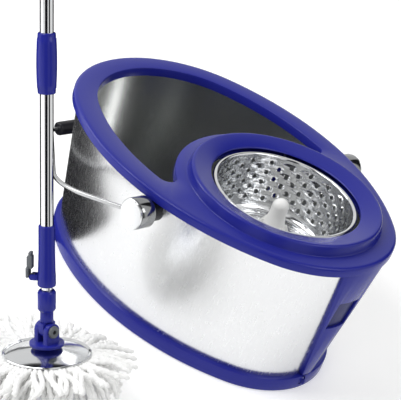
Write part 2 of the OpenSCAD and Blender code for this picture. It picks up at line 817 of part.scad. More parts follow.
module upper_tube() {
    color("silver") in_mop() tube(outer_r, outer_r - tube_t, tube_join + seat_c, pole_top);
}

module barrel_grip() {
    color("royalblue") in_mop() difference() {
        union() {
            translate([0, 0, barrel_z]) cylinder(r1 = barrel_r - 1.5, r2 = barrel_r, h = 4);
            translate([0, 0, barrel_z + 4]) cylinder(r = barrel_r, h = barrel_l - 8);
            translate([0, 0, barrel_z + barrel_l - 4]) cylinder(r1 = barrel_r, r2 = barrel_r - 1.5, h = 4);
        }
        translate([0, 0, barrel_z - past]) cylinder(r = outer_r + seat_c, h = barrel_l + 2 * past);
    }
}

rod_bottom = sleeve_z + 25;

module twist_rod() {
    color("silver") in_mop() twisted_bar(bar_w, bar_t, rod_bottom, anchor_z);
}

module rod_anchor() {
    color("dimgray") in_mop() translate([0, 0, anchor_z + seat_c])
        cylinder(r = outer_r - tube_t - seat_c, h = 15);
}

module handle_grip() {
    color("royalblue") in_mop() difference() {
        translate([0, 0, pole_top - grip_l]) cylinder(r = barrel_r - 1, h = grip_l);
        translate([0, 0, pole_top - grip_l - past]) cylinder(r = outer_r + seat_c, h = grip_l + 2 * past);
    }
}

hang_z = pole_top + 16;

module end_cap() {
    color("royalblue") in_mop() difference() {
        union() {
            translate([0, 0, pole_top + seat_c]) cylinder(r = barrel_r - 1, h = 5);
            translate([0, 0, pole_top - 20]) cylinder(r = outer_r - tube_t - seat_c, h = 22);
            translate([-4, -8, pole_top + 3]) cube([8, 16, hang_z - pole_top - 3]);
            translate([-4, 0, hang_z]) rotate([0, 90, 0]) cylinder(r = 8, h = 8);
        }
        translate([-20, 0, hang_z]) rotate([0, 90, 0]) cylinder(r = hang_r, h = 40);
    }
}

base_tray();
tub_wall();
tub_bottom();
top_rim();
end_panel();
panel_screws();
drain_seat();
drain_plug();
basket_cradle();
cradle_screws();
spindle_bush();
thrust_washer();
basket_spindle();
spin_basket();
basket_hub();
retaining_clip();
bail_bracket_front();
bail_bracket_rear();
pivot_pins();
boss_drum_front();
boss_drum_rear();
boss_cap_front();
boss_cap_rear();
bail_wire();
bail_grip();
mop_strings();
string_ring();
mop_disc();
disc_cover();
head_neck();
knuckle_yoke();
knuckle_pin();
pivot_caps();
stem();
collar_nut();
inner_tube();
drive_nut();
guide_bush();
lower_sleeve();
lock_lever();
lever_pin();
outer_tube();
twist_rod();
rod_anchor();
barrel_grip();
upper_tube();
handle_grip();
end_cap();
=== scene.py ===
import math
import random

import bmesh
import bpy
from mathutils import Matrix, Vector


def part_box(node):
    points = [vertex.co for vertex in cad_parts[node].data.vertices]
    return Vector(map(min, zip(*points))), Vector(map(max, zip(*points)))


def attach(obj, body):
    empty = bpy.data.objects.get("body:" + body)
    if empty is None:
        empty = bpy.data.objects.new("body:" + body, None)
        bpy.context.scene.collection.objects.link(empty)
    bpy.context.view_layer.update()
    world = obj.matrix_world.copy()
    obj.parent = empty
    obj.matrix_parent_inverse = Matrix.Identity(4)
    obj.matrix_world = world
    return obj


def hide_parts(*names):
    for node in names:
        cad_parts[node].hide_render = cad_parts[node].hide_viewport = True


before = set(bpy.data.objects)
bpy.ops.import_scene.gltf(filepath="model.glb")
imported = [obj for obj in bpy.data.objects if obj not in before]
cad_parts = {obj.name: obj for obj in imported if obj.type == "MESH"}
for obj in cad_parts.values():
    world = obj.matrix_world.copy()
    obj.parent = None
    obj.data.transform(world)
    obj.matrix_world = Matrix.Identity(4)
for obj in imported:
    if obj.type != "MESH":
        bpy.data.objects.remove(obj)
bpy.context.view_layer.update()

# ---- Camera, light and floor ----
# A small white studio. The camera looks down on the long front side from the basket end and is held a
# little turned. The walls are white with a few dark screens, which draw the streaks on bright metal.
view_turn = math.radians(38.34)
view_tilt = math.radians(29.484)
view_roll = math.radians(19.95)
view_distance = 2.0762
view_back = Vector((
    math.sin(view_turn) * math.cos(view_tilt),
    -math.cos(view_turn) * math.cos(view_tilt),
    math.sin(view_tilt),
))
view_right = Vector((math.cos(view_turn), math.sin(view_turn), 0))
view_up = view_back.cross(view_right)
aim_up, aim_left, aim_shift = 0.11477, 0.02134, 0.0016
view_aim = view_up * aim_up - view_right * aim_left - Vector((aim_shift, 0, 0))

bpy.ops.object.camera_add(location=view_aim + view_back * view_distance)
camera = bpy.context.object
camera_x = view_right * math.cos(view_roll) + view_up * math.sin(view_roll)
camera_y = view_up * math.cos(view_roll) - view_right * math.sin(view_roll)
camera.rotation_euler = Matrix((camera_x, camera_y, view_back)).transposed().to_euler()
camera.data.lens = 134.66
camera.data.sensor_width = 36
camera.data.clip_start = 0.1
bpy.context.scene.camera = camera
bpy.context.scene.view_settings.view_transform = "Standard"

studio = bpy.data.worlds.new("studio")
bpy.context.scene.world = studio
studio.use_nodes = True
sky = studio.node_tree
sky.nodes["Background"].inputs["Strength"].default_value = 0.85
look_way = sky.nodes.new("ShaderNodeTexCoord")
round_wall = sky.nodes.new("ShaderNodeTexGradient")
round_wall.gradient_type = "RADIAL"
screens = sky.nodes.new("ShaderNodeValToRGB")
sky.links.new(look_way.outputs["Generated"], round_wall.inputs["Vector"])
sky.links.new(round_wall.outputs["Fac"], screens.inputs["Fac"])
sky.links.new(screens.outputs["Color"], sky.nodes["Background"].inputs["Color"])
while len(screens.color_ramp.elements) > 1:
    screens.color_ramp.elements.remove(screens.color_ramp.elements[-1])
white_wall = (1, 1, 1, 1)
dark_screen = (0.03, 0.03, 0.035, 1)
screens.color_ramp.elements[0].position = 0
screens.color_ramp.elements[0].color = white_wall
screen_edge = 0.012
wall_screens = [(0.08, 0.03), (0.235, 0.035), (0.37, 0.025), (0.52, 0.03), (0.74, 0.04)]
for screen_middle, screen_half in wall_screens:
    for place, shade in [
        (screen_middle - screen_half - screen_edge, white_wall),
        (screen_middle - screen_half, dark_screen),
        (screen_middle + screen_half, dark_screen),
        (screen_middle + screen_half + screen_edge, white_wall),
    ]:
        screens.color_ramp.elements.new(place).color = shade


def softbox(way, distance, size, power):
    """A square lamp in the direction way from the bucket, turned to face it"""
    place = Vector(way).normalized() * distance
    bpy.ops.object.light_add(type="AREA", location=place)
    lamp = bpy.context.object
    lamp.rotation_euler = place.to_track_quat("Z", "Y").to_euler()
    lamp.data.size = size
    lamp.data.energy = power


softbox((-0.7, -1.0, 1.4), 2.6, 1.5, 40)
softbox((1.3, 0.2, 1.5), 2.8, 1.2, 14)
softbox((-1.2, -0.7, 0.5), 2.4, 0.9, 14)

bpy.ops.mesh.primitive_plane_add(size=9, location=(0, 0, -0.0004))
floor = bpy.context.object
floor.name = "studio_floor"
floor_white = bpy.data.materials.new("floor_white")
floor_white.use_nodes = True
floor_shader = floor_white.node_tree.nodes["Principled BSDF"]
floor_shader.inputs["Base Color"].default_value = (0.8, 0.8, 0.8, 1)
floor_shader.inputs["Roughness"].default_value = 0.9
floor_shader.inputs["Specular IOR Level"].default_value = 0.1
floor_shader.inputs["Emission Color"].default_value = (1, 1, 1, 1)
floor_shader.inputs["Emission Strength"].default_value = 0.35
floor.data.materials.append(floor_white)


def dark_card(middle, wide_way, tall_way):
    """A dark card that only bright metal sees, as a black flag stands beside bright ware"""
    bpy.ops.mesh.primitive_plane_add(size=1)
    card = bpy.context.object
    for vertex in card.data.vertices:
        vertex.co = middle + wide_way * vertex.co.x + tall_way * vertex.co.y
    card.data.materials.append(card_black)
    card.visible_camera = card.visible_diffuse = card.visible_shadow = card.visible_transmission = False
    return card


card_black = bpy.data.materials.new("card_black")
card_black.use_nodes = True
card_shader = card_black.node_tree.nodes["Principled BSDF"]
card_shader.inputs["Base Color"].default_value = (0.01, 0.01, 0.012, 1)
card_shader.inputs["Roughness"].default_value = 1
card_shader.inputs["Specular IOR Level"].default_value = 0
# A card on the floor shades the steel at the water end.
floor_card = dark_card(Vector((-0.675, 0.305, 0.001)), Vector((1.07, 0, 0)), Vector((0, 1.11, 0)))
floor_card.name = "floor_card"

# A small strip lamp inside the tub draws one bright streak on its rounded end.
strip_place = Vector((-0.075, 0.138, 0.075))
strip_aim = Vector((-0.24, 0.018, 0.15))
bpy.ops.object.light_add(type="AREA", location=strip_place)
tub_strip = bpy.context.object
tub_strip.rotation_euler = (strip_place - strip_aim).to_track_quat("Z", "Y").to_euler()
tub_strip.data.shape = "RECTANGLE"
tub_strip.data.size = 0.012
tub_strip.data.size_y = 0.12
tub_strip.data.energy = 0.022
tub_strip.visible_camera = False


# ---- Base tray ----
# A shallow moulded tray of blue plastic that the steel tub stands in. Its outline follows the rim's, and a
# notch at the basket end leaves room for the drain. It is drawn up from its floor, loop by loop.
rim_low, rim_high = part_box("top_rim")
tray_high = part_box("base_tray")[1]
left_r, right_r, side_r = 0.162, 0.142, 0.341
left_x = rim_low.x + left_r
right_x = rim_high.x - right_r
arc_gap = right_x - left_x
arc_u = ((side_r - left_r) ** 2 - (side_r - right_r) ** 2 + arc_gap ** 2) / (2 * arc_gap)
side_x = left_x + arc_u
side_y = math.sqrt((side_r - left_r) ** 2 - arc_u ** 2)
turn_l = math.atan2(side_y, left_x - side_x)
turn_r = math.atan2(side_y, right_x - side_x)
tray_in = rim_high.x - tray_high.x


def plastic(name, colour, rough, grain=0.0):
    """Glossy moulded plastic with a very fine grain"""
    material = bpy.data.materials.new(name)
    material.use_nodes = True
    nodes = material.node_tree.nodes
    links = material.node_tree.links
    shader = nodes["Principled BSDF"]
    shader.inputs["Base Color"].default_value = (*colour, 1)
    shader.inputs["Roughness"].default_value = rough
    shader.inputs["Specular IOR Level"].default_value = 0.26
    spot = nodes.new("ShaderNodeTexCoord")
    noise = nodes.new("ShaderNodeTexNoise")
    noise.inputs["Scale"].default_value = 900
    bump = nodes.new("ShaderNodeBump")
    bump.inputs["Strength"].default_value = grain
    bump.inputs["Distance"].default_value = 0.0002
    links.new(spot.outputs["Object"], noise.inputs["Vector"])
    links.new(noise.outputs["Fac"], bump.inputs["Height"])
    links.new(bump.outputs["Normal"], shader.inputs["Normal"])
    return material


def new_vertex(place):
    """Starts a mesh with one vertex, left selected in edit mode"""
    bpy.ops.object.select_all(action="DESELECT")
    bpy.ops.mesh.primitive_circle_add(vertices=3, radius=0.001)
    bpy.ops.object.mode_set(mode="EDIT")
    bpy.ops.mesh.select_mode(type="VERT")
    bpy.ops.mesh.select_all(action="SELECT")
    bpy.ops.mesh.merge(type="CENTER")
    bpy.ops.transform.translate(value=place)
    return bpy.context.object


def sweep(centre, angle, steps):
    """Carries what is selected round a centre, anticlockwise from above"""
    bpy.ops.mesh.spin(steps=steps, angle=-angle, center=(centre[0], centre[1], 0), axis=(0, 0, 1))


def rim_loop(inset, height):
    """The rim's outline moved in by inset: two end arcs and two long side arcs"""
    start = Vector((math.cos(turn_r), -math.sin(turn_r), 0)) * (right_r - inset)
    loop = new_vertex(Vector((right_x, 0, height)) + start)
    sweep((right_x, 0), 2 * turn_r, 32)
    sweep((side_x, -side_y), turn_l - turn_r, 26)
    sweep((left_x, 0), 2 * (math.pi - turn_l), 36)
    sweep((side_x, side_y), turn_l - turn_r, 26)
    bpy.ops.mesh.select_all(action="SELECT")
    bpy.ops.mesh.remove_doubles(threshold=0.00001)
    return loop


def rim_way(spot):
    """Which way is straight out from the rim's outline at a spot near it"""
    if abs(math.atan2(spot.y, spot.x - right_x)) < turn_r:
        middle = Vector((right_x, 0, 0))
    elif abs(math.atan2(spot.y, spot.x - left_x)) > turn_l:
        middle = Vector((left_x, 0, 0))
    else:
        middle = Vector((side_x, -math.copysign(side_y, spot.y), 0))
    return Vector((spot.x - middle.x, spot.y - middle.y, 0)).normalized()


def draw_on(way, steps):
    """Extrudes the selected loop again and again, each time by (outwards, up)"""
    for out, up in steps:
        bpy.ops.mesh.extrude_region_move()
        mesh = bmesh.from_edit_mesh(bpy.context.object.data)
        for vertex in mesh.verts:
            if vertex.select:
                vertex.co += way(vertex.co) * out + Vector((0, 0, up))
        bmesh.update_edit_mesh(bpy.context.object.data)


def close_mesh():
    """Joins what meets, turns the faces outwards and leaves edit mode"""
    bpy.ops.mesh.select_all(action="SELECT")
    bpy.ops.mesh.remove_doubles(threshold=0.00001)
    bpy.ops.mesh.normals_make_consistent(inside=False)
    bpy.ops.object.mode_set(mode="OBJECT")


def select_only(piece):
    """Makes a piece the one that is selected and active"""
    bpy.ops.object.select_all(action="DESELECT")
    piece.select_set(True)
    bpy.context.view_layer.objects.active = piece


def finish_with(piece, kind, **settings):
    """Adds a modifier to a piece and applies it"""
    bpy.context.view_layer.objects.active = piece
    modifier = piece.modifiers.new(kind, kind)
    for key, value in settings.items():
        setattr(modifier, key, value)
    bpy.ops.object.modifier_apply(modifier=modifier.name)


def fit(piece, name, body, finish, slot, *nodes, smooth=32):
    """Gives a finished piece its name, place, shading, finish and body"""
    select_only(piece)
    bpy.ops.object.transform_apply(location=True, rotation=True, scale=True)
    bpy.ops.object.shade_smooth_by_angle(angle=math.radians(smooth))
    piece.name = name
    piece.data.name = name
    piece.data.materials.clear()
    piece.data.materials.append(finish)
    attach(piece, body)
    if nodes:
        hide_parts(*nodes)
    return piece


blue = plastic("blue_plastic", (0.014, 0.018, 0.235), 0.25, 0.03)
tray = rim_loop(tray_in + 0.0025, 0)
bpy.ops.mesh.edge_face_add()
bpy.ops.mesh.select_all(action="SELECT")
bpy.ops.mesh.region_to_loop()
tray_h = tray_high.z
draw_on(rim_way, [
    (0.0018, 0.0007), (0.0007, 0.0018), (0, tray_h - 0.0045), (-0.0006, 0.0014), (-0.0014, 0.0006),
    (-0.0052, 0), (-0.0008, -0.0008), (0, 0.0043 - tray_h),
])
bpy.ops.mesh.edge_face_add()
close_mesh()
notch_z = 0.0123
bpy.ops.mesh.primitive_cylinder_add(
    vertices=40, radius=0.0065, depth=0.06, rotation=(0, math.pi / 2, 0),
    location=(tray_high.x, 0, notch_z),
)
notch = bpy.context.object
finish_with(tray, "BOOLEAN", object=notch, operation="DIFFERENCE", solver="EXACT")
bpy.data.objects.remove(notch)
fit(tray, "base_tray_shell", "bucket", blue, "blue_plastic", "base_tray")


# ---- Steel tub ----
# The tub is one tapered wall of thin stainless sheet with a flat bottom dropped in. The sheet is brushed
# up and down, so it takes long soft streaks from the lights.
def brushed(name, colour, rough, streak, bump_strength=0.08):
    """Brushed sheet steel: fine streaks in its roughness and its surface. streak is the noise scale"""
    material = bpy.data.materials.new(name)
    material.use_nodes = True
    nodes = material.node_tree.nodes
    links = material.node_tree.links
    shader = nodes["Principled BSDF"]
    shader.inputs["Metallic"].default_value = 1
    spot = nodes.new("ShaderNodeTexCoord")
    stretch = nodes.new("ShaderNodeMapping")
    stretch.inputs["Scale"].default_value = streak
    noise = nodes.new("ShaderNodeTexNoise")
    noise.inputs["Scale"].default_value = 1
    noise.inputs["Detail"].default_value = 4
    tone = nodes.new("ShaderNodeMapRange")
    tone.inputs["From Min"].default_value = 0.3
    tone.inputs["From Max"].default_value = 0.7
    tone.inputs["To Min"].default_value = rough - 0.015
    tone.inputs["To Max"].default_value = rough + 0.03
    tint = nodes.new("ShaderNodeValToRGB")
    tint.color_ramp.elements[0].position = 0.3
    tint.color_ramp.elements[0].color = (*[c * 0.95 for c in colour], 1)
    tint.color_ramp.elements[1].position = 0.7
    tint.color_ramp.elements[1].color = (*colour, 1)
    bump = nodes.new("ShaderNodeBump")
    bump.inputs["Strength"].default_value = bump_strength
    bump.inputs["Distance"].default_value = 0.0003
    links.new(spot.outputs["Object"], stretch.inputs["Vector"])
    links.new(stretch.outputs["Vector"], noise.inputs["Vector"])
    links.new(noise.outputs["Fac"], tone.inputs["Value"])
    links.new(tone.outputs["Result"], shader.inputs["Roughness"])
    links.new(noise.outputs["Fac"], tint.inputs["Fac"])
    links.new(tint.outputs["Color"], shader.inputs["Base Color"])
    links.new(noise.outputs["Fac"], bump.inputs["Height"])
    links.new(bump.outputs["Normal"], shader.inputs["Normal"])
    return material


def paint(finish, *nodes):
    """Gives a finish to nodes that are shown as they are"""
    for name in nodes:
        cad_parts[name].data.materials.clear()
        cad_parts[name].data.materials.append(finish)


wall_low, wall_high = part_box("tub_wall")
wall_bottom_in, wall_top_in = 0.033, 0.0065
wall_t = 0.0012
steel = brushed("brushed_steel", (0.78, 0.785, 0.79), 0.25, (700, 700, 6), 0.0)
# The tub's inside takes a darker copy of the same steel: painted shade inside the tub.
inner_steel_painted_shade = brushed("inner_steel_painted_shade", (0.62, 0.63, 0.62), 0.24, (700, 700, 6), 0.0)
tub = rim_loop(wall_bottom_in, wall_low.z)
sheet_rows = 8
draw_on(rim_way, [
    ((wall_bottom_in - wall_top_in) / sheet_rows, (wall_high.z - wall_low.z) / sheet_rows)
] * sheet_rows)
close_mesh()
finish_with(tub, "SOLIDIFY", thickness=wall_t, offset=-1)
fit(tub, "tub_wall_sheet", "bucket", steel, "brushed_steel", "tub_wall")
# Faces turned in towards the middle, and the tub's bottom, get the darker copy: painted shade.
inward = -0.5
tub.data.materials.append(inner_steel_painted_shade)
for face in tub.data.polygons:
    face.material_index = int(face.normal.dot(rim_way(face.center)) < inward)
paint(inner_steel_painted_shade, "tub_bottom")


# ---- Top rim ----
# One blue moulding: a skirt over the steel's edge, a flat deck, a lip that hangs round the water opening and
# a raised collar whose funnel leads down to the basket. The three edges are drawn first, then the deck
# between them is filled, and a wall thickness is given to all of it.
deck_z = 0.215
basket_low, basket_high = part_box("spin_basket")
basket_x = (basket_low.x + basket_high.x) / 2
skirt_h = 0.0127
crest_r = 0.127
well_in, well_f, well_r = 0.031, 0.014, crest_r + 0.018
lip_h = 0.0125


def join_up(pieces):
    """Joins pieces into the first of them"""
    select_only(pieces[0])
    for piece in pieces:
        piece.select_set(True)
    bpy.ops.object.join()
    return pieces[0]


def basket_way(spot):
    """Straight out from the basket's axis"""
    return Vector((spot.x - basket_x, spot.y, 0)).normalized()


corner_dx = basket_x - side_x
corner_d = math.hypot(corner_dx, side_y)
corner_a = side_r - well_in - well_f
corner_u = (corner_a ** 2 - (well_r + well_f) ** 2 + corner_d ** 2) / (2 * corner_d)
corner_h = math.sqrt(corner_a ** 2 - corner_u ** 2)
corner_x = side_x + (corner_dx * corner_u - side_y * corner_h) / corner_d
corner_y = side_y - (side_y * corner_u + corner_dx * corner_h) / corner_d
side_turn = math.atan2(corner_y - side_y, corner_x - side_x) % (2 * math.pi)
collar_turn = math.atan2(corner_y, corner_x - basket_x) % (2 * math.pi)


edge_slack = 0.004
corner_reach = 0.013
hump_x = -0.09


def well_way(spot):
    """Straight out from the water opening's edge, away from its middle"""
    off_hump = math.hypot(spot.x - basket_x, spot.y) - well_r
    for y in (corner_y, -corner_y):
        off_corner = Vector((spot.x - corner_x, spot.y - y, 0))
        if off_corner.length < well_f + edge_slack and spot.x > corner_x - edge_slack:
            if off_hump > 0.00002 or abs(spot.y) > abs(y) - corner_reach:
                return off_corner.normalized()
    if abs(off_hump) < edge_slack and spot.x > hump_x:
        return -basket_way(spot)
    return rim_way(spot)


rim = rim_loop(0.0006, deck_z - skirt_h)
draw_on(rim_way, [
    (0.0006, 0.0006), (0, 0.0086), (-0.0008, 0.0016), (-0.0016, 0.0013), (-0.0022, 0.0005), (-0.002, 0.0001),
])
bpy.ops.object.mode_set(mode="OBJECT")

well_edge = new_vertex((left_x - left_r + well_in, 0, deck_z))
sweep((left_x, 0), math.pi - turn_l, 18)
sweep((side_x, side_y), side_turn - (2 * math.pi - turn_l), 22)
sweep((corner_x, corner_y), collar_turn + math.pi - side_turn, 10)
sweep((basket_x, 0), 2 * (math.pi - collar_turn), 34)
sweep((corner_x, -corner_y), collar_turn + math.pi - side_turn, 10)
sweep((side_x, -side_y), side_turn - (2 * math.pi - turn_l), 22)
sweep((left_x, 0), math.pi - turn_l, 18)
bpy.ops.mesh.select_all(action="SELECT")
bpy.ops.mesh.remove_doubles(threshold=0.00001)
draw_on(well_way, [(-0.0006, -0.0003), (-0.0004, -0.0008), (0, -lip_h + 0.0011)])
bpy.ops.object.mode_set(mode="OBJECT")

collar_r = 0.1318
bpy.ops.object.select_all(action="DESELECT")
bpy.ops.mesh.primitive_circle_add(vertices=128, radius=collar_r, location=(basket_x, 0, deck_z))
collar_edge = bpy.context.object
bpy.ops.object.transform_apply(location=True)
bpy.ops.object.mode_set(mode="EDIT")
bpy.ops.mesh.select_all(action="SELECT")
draw_on(basket_way, [
    (-0.0009, 0.0006), (-0.0005, 0.0016), (-0.0018, 0.0086), (-0.0008, 0.0018), (-0.0014, 0.0012),
    (-0.0018, 0.0003), (-0.002, -0.0007), (-0.0206, -0.0052), (-0.0012, -0.0008), (-0.0004, -0.0012),
])
bpy.ops.object.mode_set(mode="OBJECT")
join_up([rim, well_edge, collar_edge])
bpy.ops.object.mode_set(mode="EDIT")
bpy.ops.mesh.select_all(action="DESELECT")
rim_mesh = bmesh.from_edit_mesh(rim.data)
deck_slack = 0.00004
for rim_edge in rim_mesh.edges:
    if len(rim_edge.link_faces) < 2 and all(abs(v.co.z - deck_z) < deck_slack for v in rim_edge.verts):
        rim_edge.select = True
bmesh.update_edit_mesh(rim.data)
bpy.ops.mesh.fill(use_beauty=True)
close_mesh()
finish_with(rim, "SOLIDIFY", thickness=0.0022, offset=-1)
fit(rim, "top_rim_moulding", "bucket", blue, "blue_plastic", "top_rim", smooth=40)


# ---- End panel and drain ----
# A tapering blue panel is screwed over the steel at the basket end, with a square finger recess. Its edges
# are rounded. The recess has a curved back just proud of the steel. The drain's plug sits under it.
def rounded_copy(node, width, segments=2, angle=30):
    """A welded copy of a node with its sharp edges rounded"""
    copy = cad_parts[node].copy()
    copy.data = copy.data.copy()
    bpy.context.scene.collection.objects.link(copy)
    copy.parent = None
    for key in list(copy.keys()):
        del copy[key]
    select_only(copy)
    bpy.ops.object.mode_set(mode="EDIT")
    bpy.ops.mesh.select_all(action="SELECT")
    bpy.ops.mesh.remove_doubles(threshold=0.00001)
    bpy.ops.mesh.dissolve_limited(angle_limit=math.radians(0.5))
    bpy.ops.object.mode_set(mode="OBJECT")
    finish_with(
        copy, "BEVEL", width=width, segments=segments, limit_method="ANGLE",
        angle_limit=math.radians(angle), miter_outer="MITER_ARC", use_clamp_overlap=True,
    )
    return copy


panel = rounded_copy("end_panel", 0.0012)
panel_low, panel_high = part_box("end_panel")
panel_foot_half, panel_head_half, panel_trim = 0.014, 0.044, 0.006


def trim_panel(spot):
    """Draws the panel's front edge back, so that the panel sits a little towards the rear"""
    rise = (spot.z - panel_low.z) / (panel_high.z - panel_low.z)
    half = panel_foot_half + (panel_head_half - panel_foot_half) * rise
    return Vector((spot.x, half - (half - spot.y) * (1 - panel_trim / half), spot.z))


for vertex in panel.data.vertices:
    vertex.co = trim_panel(vertex.co)
fit(panel, "end_panel_moulding", "bucket", blue, "blue_plastic", "end_panel")

# The recess back is the panel's blue made darker: painted shade in the recess.
recess_painted_shade = plastic("recess_painted_shade", (0.012, 0.015, 0.1), 0.4, 0.03)
recess_half, recess_low, recess_high = 0.0235, 0.1045, 0.1550
recess_proud = 0.0022
bpy.ops.object.select_all(action="DESELECT")
bpy.ops.mesh.primitive_grid_add(x_subdivisions=1, y_subdivisions=16, size=1)
recess = bpy.context.object
for vertex in recess.data.vertices:
    height = recess_low + (recess_high - recess_low) * (vertex.co.x + 0.5)
    rise = (height - wall_low.z) / (wall_high.z - wall_low.z)
    recess_r = right_r - wall_bottom_in + (wall_bottom_in - wall_top_in) * rise + recess_proud
    swing = vertex.co.y * 2 * recess_half / right_r
    vertex.co = trim_panel(
        Vector((right_x + recess_r * math.cos(swing), recess_r * math.sin(swing), height))
    )
finish_with(recess, "SOLIDIFY", thickness=0.0018, offset=0)
fit(recess, "panel_recess_back", "bucket", recess_painted_shade, "blue_plastic")

rubber = plastic("black_rubber", (0.012, 0.012, 0.014), 0.5, 0.05)
zinc = brushed("zinc", (0.6, 0.61, 0.62), 0.35, (400, 400, 400))
paint(zinc, "panel_screws", "cradle_screws", "retaining_clip")
paint(rubber, "drain_seat")
plug = rounded_copy("drain_plug", 0.0004)
fit(plug, "drain_plug_moulding", "plug", blue, "blue_plastic", "drain_plug")


# ---- Basket drive ----
# Under the collar a blue cradle holds a bronze bush, and the basket's bright steel spindle turns in it. A
# white washer carries the weight and a spring clip keeps the spindle down.
white = plastic("white_plastic", (0.8, 0.8, 0.79), 0.3, 0.02)
bronze = brushed("bronze", (0.5, 0.33, 0.13), 0.35, (300, 300, 300))
bright = brushed("bright_steel", (0.72, 0.73, 0.74), 0.16, (90, 90, 90), 0.03)
paint(blue, "basket_cradle")
paint(bronze, "spindle_bush")
paint(white, "thrust_washer")
paint(bright, "basket_spindle")


# ---- Spin basket ----
# A bowl of polished sheet steel. Rows of round holes are punched through its wall, each beside a raised
# tear that runs along the row. The blank is drawn flat as a grid, punched, and then rolled into the bowl.
punch_n = 20
punch_step = 18
around = punch_n * punch_step
punch_rows = 8
row_step = 4
basket_floor_z, basket_top_z = basket_low.z, basket_high.z
floor_r, fillet_z, fillet_out = 0.070, 0.012, 0.0125
wall_foot_r, wall_head_r = 0.0825, 0.0915
wall_foot_z = basket_floor_z + fillet_z
wall_head_z = basket_top_z - 0.0055
floor_path = [(0.030 + 0.040 * i / 20, basket_floor_z) for i in range(21)]
fillet_path = [
    (floor_r + fillet_out * math.sin(math.radians(a)), wall_foot_z - fillet_z * math.cos(math.radians(a)))
    for a in (18, 36, 54, 72)
]
bowl_rows = punch_rows * row_step + 2
wall_path = [
    (wall_foot_r + (wall_head_r - wall_foot_r) * i / bowl_rows,
     wall_foot_z + (wall_head_z - wall_foot_z) * i / bowl_rows)
    for i in range(bowl_rows + 1)
]
roll_r = 0.0026
edge_path = [
    (wall_head_r + roll_r - roll_r * math.cos(math.radians(a)),
     wall_head_z + 0.0022 + roll_r * math.sin(math.radians(a)))
    for a in (0, 30, 60, 90, 120, 150, 180, 215)
]
bowl_path = floor_path + fillet_path + wall_path + edge_path
wall_start = len(floor_path) + len(fillet_path)
blank_rows = len(bowl_path) - 1
bpy.ops.object.select_all(action="DESELECT")
bpy.ops.mesh.primitive_grid_add(x_subdivisions=around, y_subdivisions=blank_rows, size=1)
basket = bpy.context.object


def blank_place(vertex):
    """(column, row) of a vertex of the flat blank"""
    return round((vertex.co.x + 0.5) * around), round((vertex.co.y + 0.5) * blank_rows)


bpy.ops.object.mode_set(mode="EDIT")
blank = bmesh.from_edit_mesh(basket.data)
places = {vertex.index: blank_place(vertex) for vertex in blank.verts}
punch_r = 0.0033
dimple_h, dimple_l, dimple_half, dimple_lead = 0.0015, 0.0145, 0.0034, 0.002
bead_h, bead_half = 0.0016, 0.003
slot_r, slot_l_half, slot_w_half, slot_step = 0.0545, 0.0075, 0.0023, 45
hole_centres = {}
for row in range(punch_rows):
    row_at = wall_start + 3 + row * row_step
    for hole in range(punch_n):
        column_at = (hole * punch_step + row * row_step * 2) % around
        hole_centres[(row, hole)] = (column_at, row_at)


def along(column, centre_column):
    """Columns from a hole's centre to a column, the short way round"""
    return (column - centre_column + around // 2) % around - around // 2


rolled = {}
for vertex in blank.verts:
    column, row = places[vertex.index]
    radius, height = bowl_path[row]
    inwards = 0.0
    column_f, row_f = float(column), float(row)
    wall_row = row - wall_start
    if 0 < wall_row < bowl_rows:
        band = min(max((wall_row - 1) // row_step, 0), punch_rows - 1)
        for hole in range(punch_n):
            centre_column, centre_row = hole_centres[(band, hole)]
            run = along(column, centre_column)
            if -4 <= run <= 12:
                pitch_u = 2 * math.pi * radius / around
                pitch_v = (wall_head_z - wall_foot_z) / bowl_rows
                u, v = run * pitch_u, (row - centre_row) * pitch_v
                if abs(run) <= 1 and abs(row - centre_row) <= 1 and (run or row != centre_row):
                    grow = punch_r / math.hypot(u, v)
                    column_f = centre_column + run * grow
                    row_f = centre_row + (row - centre_row) * grow
                    u, v = u * grow, v * grow
                tail = 1 - max(0.0, u - punch_r) / dimple_l
                half = dimple_half * max(tail, 0.05) ** 0.7
                lead = max(0.0, -u - punch_r) / dimple_lead
                shape = max(0.0, 1 - (v / half) ** 2) * max(0.0, min(tail, 1)) * max(0.0, 1 - lead)
                inwards = max(inwards, dimple_h * shape)
                break
    if wall_start <= row_f <= wall_start + bowl_rows:
        part = (row_f - wall_start) / bowl_rows
        radius = wall_foot_r + (wall_head_r - wall_foot_r) * part
        height = wall_foot_z + (wall_head_z - wall_foot_z) * part
    for bead_r in (0.046, 0.064):
        if row < len(floor_path):
            height += bead_h * max(0.0, 1 - ((radius - bead_r) / bead_half) ** 2)
    turn = 2 * math.pi * column_f / around
    rolled[vertex] = Vector((
        basket_x + (radius - inwards) * math.cos(turn), (radius - inwards) * math.sin(turn), height,
    ))
punched = []
for face in blank.faces:
    corners = [places[v.index] for v in face.verts]
    column = min(c for c, r in corners)
    row = min(r for c, r in corners)
    wall_row = row - wall_start
    if wall_row >= 0:
        band = (wall_row - 1) // row_step
        if 0 <= band < punch_rows:
            for hole in range(punch_n):
                centre_column, centre_row = hole_centres[(band, hole)]
                if along(column, centre_column) in (-1, 0) and row in (centre_row - 1, centre_row):
                    punched.append(face)
    else:
        radius = (bowl_path[row][0] + bowl_path[row + 1][0]) / 2
        slot_run = abs((column + 0.5) % slot_step - slot_step / 2) * math.radians(1) * radius
        if abs(radius - slot_r) < slot_l_half and slot_run < slot_w_half:
            punched.append(face)
for vertex, place in rolled.items():
    vertex.co = place
bmesh.ops.delete(blank, geom=punched, context="FACES")
bmesh.update_edit_mesh(basket.data)
close_mesh()
finish_with(basket, "SOLIDIFY", thickness=0.0007, offset=0)
basket_steel = brushed("basket_steel", (0.74, 0.75, 0.76), 0.12, (4, 4, 4), 0.0)
fit(basket, "basket_bowl", "spinner", basket_steel, "bright_steel", "spin_basket", smooth=50)


